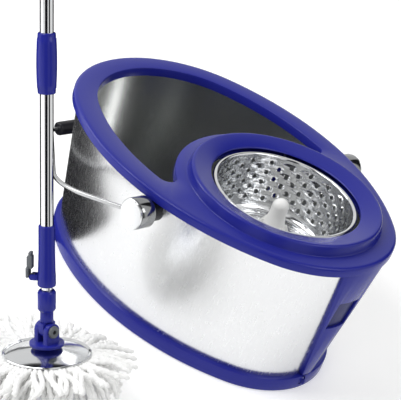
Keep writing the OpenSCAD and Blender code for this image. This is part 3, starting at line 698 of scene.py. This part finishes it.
# ---- Basket hub ----
# A white moulded cone stands on the basket's floor and ends in the round drive knob. Eight ribs run from
# its flange up the cone. It is turned as one profile and the ribs are set into it.
def turned(profile, steps=72):
    """A mesh turned about the Z axis from (radius, height) points"""
    shell = new_vertex((profile[0][0], 0, profile[0][1]))
    for (r0, z0), (r1, z1) in zip(profile, profile[1:]):
        bpy.ops.mesh.extrude_region_move(TRANSFORM_OT_translate={"value": (r1 - r0, 0, z1 - z0)})
    bpy.ops.mesh.select_all(action="SELECT")
    sweep((0, 0), 2 * math.pi, steps)
    close_mesh()
    return shell


def arc(centre_r, centre_z, radius, start, end, count):
    """Points of a profile along an arc, in degrees"""
    return [
        (centre_r + radius * math.cos(math.radians(start + (end - start) * i / count)),
         centre_z + radius * math.sin(math.radians(start + (end - start) * i / count)))
        for i in range(count + 1)
    ]


def move(piece, place):
    """Puts a piece made at the origin in its place"""
    piece.matrix_world = place
    select_only(piece)
    bpy.ops.object.transform_apply(location=True, rotation=True, scale=True)
    return piece


hub_low, hub_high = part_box("basket_hub")
hub_h = hub_high.z - hub_low.z
knob_r = 0.011
hub = turned(
    [(0.0, 0.0), (0.0355, 0.0), (0.036, 0.0005), (0.036, 0.0035), (0.0345, 0.005), (0.0300, 0.0056),
     (0.0225, 0.0165), (0.0165, 0.0265), (0.0145, 0.0300), (0.0118, 0.0410), (knob_r, 0.0440)]
    + arc(0, hub_h - knob_r, knob_r, 0, 90, 10)[:-1] + [(0.0, hub_h)],
    steps=64,
)
rib_n = 8
ribs = []
for rib_i in range(rib_n):
    bpy.ops.mesh.primitive_cube_add(size=1)
    rib = bpy.context.object
    for vertex in rib.data.vertices:
        outer = vertex.co.x > 0
        raised = vertex.co.z > 0
        vertex.co = Vector((
            (0.0335 if not raised else 0.0165) if outer else 0.008,
            vertex.co.y * 0.0022,
            0.0035 if not raised else 0.0330,
        ))
    finish_with(rib, "BEVEL", width=0.0006, segments=2)
    move(rib, Matrix.Rotation(2 * math.pi * rib_i / rib_n, 4, "Z"))
    ribs.append(rib)
join_up([hub] + ribs)
move(hub, Matrix.Translation((basket_x, 0, hub_low.z)))
fit(hub, "hub_cone", "spinner", white, "white_plastic", "basket_hub")


# ---- Bail ----
# Brackets and pins on the tub carry two chromed drums with brushed caps. A bright steel wire springs from
# them, runs along the sides, turns in over the water end and holds a black hand grip that turns on it.
chrome = brushed("chrome", (0.8, 0.81, 0.82), 0.07, (4, 4, 4), 0.0)
# The drums take a much darker copy of the chrome, so their sides read black: painted dark reflection.
drum_chrome_painted_dark = brushed("drum_chrome_painted_dark", (0.3, 0.305, 0.31), 0.1, (4, 4, 4), 0.0)
black = plastic("black_plastic", (0.012, 0.012, 0.016), 0.25, 0.02)
paint(black, "bail_bracket_front", "bail_bracket_rear")
paint(bright, "pivot_pins")
boss_r = 0.020
cap_brushed = brushed("cap_steel", (0.8, 0.81, 0.82), 0.25, (600, 20, 20))
for side_name, side in (("front", -1), ("rear", 1)):
    drum_low, drum_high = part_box("boss_drum_" + side_name)
    cap_low, cap_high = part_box("boss_cap_" + side_name)
    drum_in = min(abs(drum_low.y), abs(drum_high.y))
    drum_out = max(abs(drum_low.y), abs(drum_high.y))
    cap_out = max(abs(cap_low.y), abs(cap_high.y))
    pivot = Vector(((drum_low.x + drum_high.x) / 2, 0, (drum_low.z + drum_high.z) / 2))
    lie_down = Matrix.Translation(pivot) @ Matrix.Rotation(-side * math.pi / 2, 4, "X")
    drum = turned([
        (0.0045, drum_in), (boss_r - 0.0016, drum_in), (boss_r - 0.0005, drum_in + 0.0005),
        (boss_r, drum_in + 0.0016), (boss_r, drum_out - 0.0016), (boss_r - 0.0005, drum_out - 0.0005),
        (boss_r - 0.0014, drum_out), (0.0045, drum_out), (0.0045, drum_in),
    ])
    fit(move(drum, lie_down), "bail_drum_" + side_name, "bail", drum_chrome_painted_dark, "chrome",
        "boss_drum_" + side_name)
    cap = turned([
        (0.0, drum_out), (boss_r - 0.0012, drum_out), (boss_r - 0.001, cap_out - 0.0008),
        (boss_r - 0.0018, cap_out - 0.0001), (boss_r - 0.003, cap_out), (0.0, cap_out),
    ])
    fit(move(cap, lie_down), "bail_cap_" + side_name, "bail", cap_brushed, "brushed_steel",
        "boss_cap_" + side_name)

grip_low, grip_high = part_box("bail_grip")
grip_middle = (grip_low + grip_high) / 2
reach_way = grip_middle - pivot
bail_reach = reach_way.length
bail_x = reach_way.normalized()
bail_y = Vector((0, 1, 0))
bail_turn = Matrix((bail_x, bail_y, bail_x.cross(bail_y))).transposed().to_4x4()
bail_frame = Matrix.Translation(pivot) @ bail_turn
wire_r = 0.003
leg_flare, shoulder_turn = math.radians(7), math.radians(38)
leg_in, leg_l = 0.0085, 0.079
leg_y = drum_in + 0.013
shoulder_r, bend_r = 0.130, 0.016


def heading(angle):
    """Unit way in the bail's plane"""
    return Vector((math.cos(angle), math.sin(angle), 0))


leg_start = Vector((leg_in, -leg_y - leg_in * math.tan(leg_flare), 0))
leg_end = leg_start + heading(-leg_flare) * leg_l
shoulder_c = leg_end + heading(math.pi / 2 - leg_flare) * shoulder_r
shoulder_end = shoulder_c - heading(math.pi / 2 + shoulder_turn) * shoulder_r
bend_y = shoulder_end.y + (bail_reach - shoulder_end.x) * math.tan(shoulder_turn)
bend_trim = bend_r * math.tan((math.pi / 2 - shoulder_turn) / 2)
bend_c = Vector((bail_reach - bend_r, bend_y + bend_trim, 0))
bend_start = bend_c + heading(shoulder_turn - math.pi / 2) * bend_r
bpy.ops.object.select_all(action="DESELECT")
bpy.ops.mesh.primitive_circle_add(
    vertices=20, radius=wire_r, fill_type="NGON", location=leg_start, rotation=(0, math.pi / 2, -leg_flare),
)
wire = bpy.context.object
bpy.ops.object.transform_apply(location=True, rotation=True)
bpy.ops.object.mode_set(mode="EDIT")
bpy.ops.mesh.select_all(action="SELECT")
bpy.ops.mesh.extrude_region_move(TRANSFORM_OT_translate={"value": leg_end - leg_start})
sweep(shoulder_c, leg_flare + shoulder_turn, 18)
bpy.ops.mesh.extrude_region_move(TRANSFORM_OT_translate={"value": bend_start - shoulder_end})
sweep(bend_c, math.pi / 2 - shoulder_turn, 12)
bpy.ops.mesh.extrude_region_move(TRANSFORM_OT_translate={"value": (0, -bend_c.y, 0)})
bpy.ops.mesh.delete(type="ONLY_FACE")
close_mesh()
finish_with(wire, "MIRROR", use_axis=(False, True, False), merge_threshold=0.00002)
bpy.ops.object.mode_set(mode="EDIT")
close_mesh()
wire_steel = brushed("wire_steel", (0.5, 0.505, 0.51), 0.2, (60, 60, 60), 0.0)
fit(move(wire, bail_frame), "bail_wire_rod", "bail", wire_steel, "bright_steel", "bail_wire")

grip_half = (grip_high.y - grip_low.y) / 2
hand_r = 0.010
hand_grip = turned(
    [(wire_r + 0.0001, -grip_half)] + arc(hand_r - 0.003, -grip_half + 0.003, 0.003, -90, 0, 5)
    + arc(hand_r - 0.003, grip_half - 0.003, 0.003, 0, 90, 5)
    + [(wire_r + 0.0001, grip_half), (wire_r + 0.0001, -grip_half)],
    steps=40,
)
move(hand_grip, Matrix.Translation(grip_middle) @ Matrix.Rotation(math.pi / 2, 4, "X"))
fit(hand_grip, "bail_hand_grip", "hand_grip", black, "black_plastic", "bail_grip")


# ---- Mop head ----
# Under a chromed dished cover a blue disc holds the ring that the strings are sewn to, and its socket drops
# over the basket's knob. The cover is turned as one thin shell with a rolled edge.
tube_low, tube_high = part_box("inner_tube")
upper_low, upper_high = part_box("upper_tube")
cover_low, cover_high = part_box("disc_cover")
pole_way = ((upper_low + upper_high) - (tube_low + tube_high)).normalized()
cover_r = 0.054
head = (cover_low + cover_high) / 2 + pole_way * 0.0003
mop_across = Vector((pole_way.y, -pole_way.x, 0)).normalized()
mop_along = mop_across.cross(pole_way)
mop_turn = Matrix((mop_along, mop_across, pole_way)).transposed().to_4x4()
mop_frame = Matrix.Translation(head) @ mop_turn
cover = turned([
    (0.0102, 0.0090), (0.0125, 0.0086), (0.0150, 0.0074), (0.0220, 0.0056), (0.0340, 0.0034),
    (0.0440, 0.0014), (0.0488, -0.0002), (0.0502, -0.0006), (0.0512, -0.0002), (0.0522, 0.0008),
    (0.0532, 0.0011), (0.0538, 0.0006), (cover_r, -0.0003), (0.0537, -0.0010),
    (0.0510, -0.0013), (0.0440, 0.0004), (0.0340, 0.0022), (0.0102, 0.0078), (0.0102, 0.0090),
], steps=96)
cover_chrome = brushed("cover_chrome", (0.7, 0.71, 0.72), 0.12, (4, 4, 4), 0.0)
fit(move(cover, mop_frame), "cover_plate", "mop_head", cover_chrome, "chrome", "disc_cover")
grey_metal = brushed("grey_metal", (0.25, 0.26, 0.28), 0.3, (200, 200, 200))
paint(grey_metal, "head_neck")
paint(blue, "string_ring", "mop_disc")


# ---- Knuckle ----
# A forked blue knuckle with a round flange under it lets the pole tilt. A steel pin joins the fork to the
# pole's stem, with a grey cap and a black socket at each end, and a chamfered nut is pressed over the stem.
yoke = rounded_copy("knuckle_yoke", 0.0014, 3)
fit(yoke, "knuckle_fork", "yoke", blue, "blue_plastic", "knuckle_yoke")
grey = plastic("grey_plastic", (0.13, 0.14, 0.15), 0.35, 0.03)
ear_out = 0.0117
knuckle_z = 0.029
cap_frames = [
    mop_frame @ Matrix.Translation((side * ear_out, 0, knuckle_z))
    @ Matrix.Rotation(side * math.pi / 2, 4, "Y")
    for side in (-1, 1)
]
cap_rings = [
    move(turned([
        (0.0026, 0.0010), (0.0026, 0.0026), (0.0031, 0.0031), (0.0064, 0.0031), (0.0072, 0.0025),
        (0.0075, 0.0016), (0.0075, 0.0001), (0.0026, 0.0001), (0.0026, 0.0010),
    ], steps=40), cap_frame) for cap_frame in cap_frames
]
fit(join_up(cap_rings), "knuckle_caps", "yoke", grey, "grey_plastic", "pivot_caps")
cap_cores = [
    move(turned([(0.0, 0.0001), (0.0026, 0.0001), (0.0026, 0.0012), (0.0, 0.0012)], steps=24), cap_frame)
    for cap_frame in cap_frames
]
fit(join_up(cap_cores), "knuckle_cap_sockets", "yoke", rubber, "black_rubber")
paint(bright, "knuckle_pin")
stem = rounded_copy("stem", 0.0009)
fit(stem, "pole_stem", "shaft", blue, "blue_plastic", "stem")
nut_z, nut_l, nut_r = 0.05305, 0.026, 0.011
nut = turned([
    (0.0066, nut_z), (nut_r - 0.002, nut_z), (nut_r - 0.0004, nut_z + 0.0022), (nut_r, nut_z + 0.003),
    (nut_r, nut_z + nut_l - 0.003), (nut_r - 0.0004, nut_z + nut_l - 0.0022),
    (nut_r - 0.0018, nut_z + nut_l), (0.0066, nut_z + nut_l), (0.0066, nut_z),
], steps=48)
fit(move(nut, mop_frame), "stem_collar", "shaft", blue, "blue_plastic", "collar_nut")


# ---- Pole ----
# Chromed tubes slide one in the other. A blue sleeve with a grey lock lever ends the lower tube, and a
# blue barrel covers the join between the lower and the upper tube. A twisted rod inside drives the head.
def up_pole(spot):
    """How far up the pole a spot is, from the head plate"""
    return (spot - head).dot(pole_way)


def pole_ends(node):
    """Lowest and highest places of a node along the pole"""
    ends = [up_pole(v.co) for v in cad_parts[node].data.vertices]
    return min(ends), max(ends)


def chromed_tube(node, name, body, radius, wall):
    """A smooth tube in place of a node"""
    low, high = pole_ends(node)
    tube = turned([
        (radius - wall, low), (radius - 0.0002, low), (radius, low + 0.0002), (radius, high - 0.0002),
        (radius - 0.0002, high), (radius - wall, high), (radius - wall, low),
    ], steps=48)
    return fit(move(tube, mop_frame), name, body, chrome, "chrome", node)


# Two dark cards, one before the tubes and one behind them, draw the black streaks on them.
to_camera = (view_back - pole_way * view_back.dot(pole_way)).normalized()
card_across = pole_way.cross(to_camera)
pole_middle = head + pole_way * 0.52
dark_card(pole_middle + to_camera * 0.06, card_across * 0.045, pole_way * 0.9).name = "near_card"
dark_card(
    pole_middle - to_camera * 0.02 - card_across * 0.035, card_across * 0.17, pole_way * 0.9,
).name = "far_card"
chromed_tube("inner_tube", "inner_tube_chrome", "shaft", 0.0065, 0.0008)
chromed_tube("outer_tube", "outer_tube_chrome", "handle", 0.008, 0.0008)
chromed_tube("upper_tube", "upper_tube_chrome", "handle", 0.008, 0.0008)
paint(white, "drive_nut", "guide_bush")
paint(bright, "twist_rod", "lever_pin")
paint(black, "rod_anchor")

sleeve_low, sleeve_high = pole_ends("lower_sleeve")
sleeve_r, sleeve_neck_r, sleeve_in_r, bore_r = 0.011, 0.0098, 0.0072, 0.00805
sleeve = turned([
    (sleeve_in_r, sleeve_low), (sleeve_r - 0.0014, sleeve_low), (sleeve_r - 0.0003, sleeve_low + 0.001),
    (sleeve_r, sleeve_low + 0.003), (sleeve_r - 0.0002, sleeve_low + 0.014),
    (sleeve_r - 0.0005, sleeve_low + 0.018), (sleeve_neck_r + 0.0003, sleeve_low + 0.032),
    (sleeve_neck_r, sleeve_low + 0.045), (sleeve_neck_r, sleeve_high - 0.0012),
    (sleeve_neck_r - 0.0008, sleeve_high), (bore_r, sleeve_high), (bore_r, sleeve_low + 0.0015),
    (sleeve_in_r, sleeve_low + 0.0015), (sleeve_in_r, sleeve_low),
], steps=56)
pin_low, pin_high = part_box("lever_pin")
lever_pivot = (pin_low + pin_high) / 2
lever_arm = lever_pivot - head - pole_way * up_pole(lever_pivot)
lever_out = lever_arm.normalized()
lever_frame = Matrix.Translation(lever_pivot) @ Matrix(
    (lever_out, pole_way.cross(lever_out), pole_way)
).transposed().to_4x4()
lug_r, lug_in, lug_t, lug_sunk = 0.0034, 0.0033, 0.003, 0.0015
lugs = []
for side in (-1, 1):
    bpy.ops.mesh.primitive_cylinder_add(
        vertices=32, radius=lug_r, depth=lug_t, rotation=(math.pi / 2, 0, 0),
        location=(0, side * (lug_in + lug_t / 2), 0),
    )
    lug = bpy.context.object
    bpy.ops.object.transform_apply(location=True, rotation=True)
    for vertex in lug.data.vertices:
        if vertex.co.x < 0:
            vertex.co.x = sleeve_r - lug_sunk - lever_arm.length
    finish_with(lug, "BEVEL", width=0.0005, segments=2, limit_method="ANGLE")
    lugs.append(move(lug, lever_frame))
move(sleeve, mop_frame)
fit(join_up([sleeve] + lugs), "lower_sleeve_moulding", "handle", blue, "blue_plastic", "lower_sleeve")


def lever_block(low, high, round_by):
    """A rounded block of the lever between two corners in the lever's own frame"""
    bpy.ops.mesh.primitive_cube_add(size=1)
    block = bpy.context.object
    for vertex in block.data.vertices:
        vertex.co = Vector([a + (b - a) * (c + 0.5) for a, b, c in zip(low, high, vertex.co)])
    finish_with(block, "BEVEL", width=round_by, segments=3)
    return block


lever_bits = [
    lever_block((-0.0026, -0.003, -0.0026), (0.0041, 0.003, 0.0026), 0.0006),
    lever_block((0.0037, -0.0074, -0.0007), (0.0072, 0.0074, 0.0120), 0.0010),
    lever_block((-0.0004, -0.0050, 0.0100), (0.0064, 0.0056, 0.0255), 0.0012),
    lever_block((0.0006, -0.0046, 0.0245), (0.0046, 0.0046, 0.0300), 0.0010),
]
for bit in lever_bits:
    move(bit, lever_frame)
fit(join_up(lever_bits), "lock_lever_moulding", "lever", grey, "grey_plastic", "lock_lever")

barrel_low, barrel_high = pole_ends("barrel_grip")
barrel_l = barrel_high - barrel_low
barrel_r, barrel_crown = 0.0112, 0.0008
barrel = turned(
    [(bore_r, barrel_low), (0.0098, barrel_low), (0.0104, barrel_low + 0.0008),
     (0.0107, barrel_low + 0.006), (barrel_r, barrel_low + 0.0068)]
    + [(barrel_r + barrel_crown * math.sin(math.pi * i / 12),
        barrel_low + 0.0068 + (barrel_l - 0.0136) * i / 12)
       for i in range(1, 12)]
    + [(barrel_r, barrel_high - 0.0068), (0.0107, barrel_high - 0.006), (0.0104, barrel_high - 0.0008),
       (0.0098, barrel_high), (bore_r, barrel_high), (bore_r, barrel_low)],
    steps=48,
)
fit(move(barrel, mop_frame), "joining_barrel", "handle", blue, "blue_plastic", "barrel_grip")

top_low, top_high = pole_ends("handle_grip")
top_r = 0.011
groove_n, groove_half, groove_deep = 9, 0.0018, 0.0006
grooves = []
for groove_i in range(groove_n):
    groove_z = top_low + 0.02 + (top_high - top_low - 0.04) * groove_i / (groove_n - 1)
    grooves += [(top_r, groove_z - groove_half), (top_r - groove_deep, groove_z - 0.0008),
                (top_r - groove_deep, groove_z + 0.0008), (top_r, groove_z + groove_half)]
top_grip = turned(
    [(bore_r, top_low), (top_r - 0.0015, top_low), (top_r, top_low + 0.002)] + grooves
    + [(top_r, top_high - 0.0006), (top_r - 0.0004, top_high), (bore_r, top_high), (bore_r, top_low)],
    steps=48,
)
fit(move(top_grip, mop_frame), "top_hand_grip", "handle", blue, "blue_plastic", "handle_grip")
hanger = rounded_copy("end_cap", 0.0009)
fit(hanger, "hanging_cap", "handle", blue, "blue_plastic", "end_cap")


# ---- Strings ----
# White twisted yarn in short soft ropes, sewn to the ring in layers. The upper ones stand out from under the
# cover in its own plane, and the lower ones droop to the floor. One rope is made and copied along each way.
yarn = bpy.data.materials.new("microfibre")
yarn.use_nodes = True
yarn_shader = yarn.node_tree.nodes["Principled BSDF"]
yarn_shader.inputs["Base Color"].default_value = (0.86, 0.86, 0.85, 1)
# A faint white glow lifts the yarn's brightness: painted light.
yarn_shader.inputs["Emission Color"].default_value = (1, 1, 0.99, 1)
yarn_shader.inputs["Emission Strength"].default_value = 0.025
yarn_shader.inputs["Roughness"].default_value = 0.95
yarn_shader.inputs["Specular IOR Level"].default_value = 0.1
yarn_shader.inputs["Sheen Weight"].default_value = 0.3
yarn_spot = yarn.node_tree.nodes.new("ShaderNodeTexCoord")
fuzz = yarn.node_tree.nodes.new("ShaderNodeTexNoise")
fuzz.inputs["Scale"].default_value = 900
fuzz_bump = yarn.node_tree.nodes.new("ShaderNodeBump")
fuzz_bump.inputs["Strength"].default_value = 0.5
fuzz_bump.inputs["Distance"].default_value = 0.0006
yarn.node_tree.links.new(yarn_spot.outputs["Object"], fuzz.inputs["Vector"])
yarn.node_tree.links.new(fuzz.outputs["Fac"], fuzz_bump.inputs["Height"])
yarn.node_tree.links.new(fuzz_bump.outputs["Normal"], yarn_shader.inputs["Normal"])

rope_sides, rope_rings = 10, 44
bpy.ops.object.select_all(action="DESELECT")
bpy.ops.mesh.primitive_cylinder_add(vertices=rope_sides, radius=1, depth=1, end_fill_type="TRIFAN")
pattern_rope = bpy.context.object
bpy.ops.object.mode_set(mode="EDIT")
bpy.ops.mesh.select_all(action="DESELECT")
rope_mesh = bmesh.from_edit_mesh(pattern_rope.data)
for edge in rope_mesh.edges:
    ends_z = sorted(v.co.z for v in edge.verts)
    edge.select = ends_z[0] < -0.4 and ends_z[1] > 0.4
bmesh.update_edit_mesh(pattern_rope.data)
bpy.ops.mesh.subdivide(number_cuts=rope_rings - 1)
bpy.ops.object.mode_set(mode="OBJECT")

dice = random.Random(7)
floor_gap = 0.0006
sewn_r, sewn_drop, tier_drop = 0.049, 0.0045, 0.002


def rope_path(turn, tier, length, wander, thick):
    """Centre line of one rope: points from the ring to its end, never lower than it can lie on the floor"""
    out = mop_along * math.cos(turn) + mop_across * math.sin(turn)
    side = pole_way.cross(out)
    points = []
    spot = head + out * sewn_r - pole_way * (sewn_drop + tier_drop * tier)
    way = (out + side * wander * 0.5 + pole_way * (0.10 - 0.12 * tier)).normalized()
    step = length / rope_rings
    sway = dice.uniform(0, 2 * math.pi)
    low_limit = floor_gap + 1.2 * thick + 0.0016 * (3 - tier)
    for i in range(rope_rings + 1):
        points.append(spot.copy())
        part = i / rope_rings
        bend = side * math.sin(sway + part * 5) * 0.10
        fall = Vector((0, 0, -1)) * (0.012 + 0.03 * tier) * (1 - part * 0.3)
        way = (way + bend * 0.35 + fall).normalized()
        spot = spot + way * step
        if spot.z < low_limit:
            spot.z = low_limit
            way = Vector((way.x, way.y, max(way.z, 0.0))).normalized()
    return points


ropes = []
tier_counts = (60, 60, 58, 50)
tier_lengths = (0.066, 0.069, 0.072, 0.075)
ply_depth, ply_turn = 0.2, 1.05
tip_from, tip_round = 0.93, 0.0052
for tier, (count, length) in enumerate(zip(tier_counts, tier_lengths)):
    for rope_i in range(count):
        turn = 2 * math.pi * (rope_i + 0.5 * (tier % 2) + dice.uniform(-0.25, 0.25)) / count
        rope_r = dice.uniform(0.0028, 0.0033)
        rope_l = length * dice.uniform(0.86, 1.0)
        line = rope_path(turn, tier, rope_l, dice.uniform(-0.35, 0.35), rope_r)
        rope = pattern_rope.copy()
        rope.data = pattern_rope.data.copy()
        bpy.context.scene.collection.objects.link(rope)
        twist = dice.uniform(0, 2 * math.pi)
        for vertex in rope.data.vertices:
            part = min(max(vertex.co.z + 0.5, 0), 1) * rope_rings
            i = min(int(round(part)), rope_rings)
            before, after = line[max(i - 1, 0)], line[min(i + 1, rope_rings)]
            way = (after - before).normalized()
            flat = way.cross(Vector((0, 0, 1))).normalized()
            over = flat.cross(way)
            angle = math.atan2(vertex.co.y, vertex.co.x)
            ply = 1 + ply_depth * math.cos(2 * (angle - twist) - i * ply_turn)
            taper = math.sqrt(max(0.0, 1 - max(0.0, i / rope_rings - tip_from) ** 2 / tip_round))
            radius = rope_r * ply * taper * math.hypot(vertex.co.x, vertex.co.y)
            vertex.co = line[i] + flat * math.cos(angle) * radius + over * math.sin(angle) * radius
        ropes.append(rope)
bpy.data.objects.remove(pattern_rope)
half_way = len(ropes) // 2
for name, group in (("strings_upper", ropes[:half_way]), ("strings_lower", ropes[half_way:])):
    fit(join_up(group), name, "mop_head", yarn, "microfibre", "mop_strings", smooth=60)
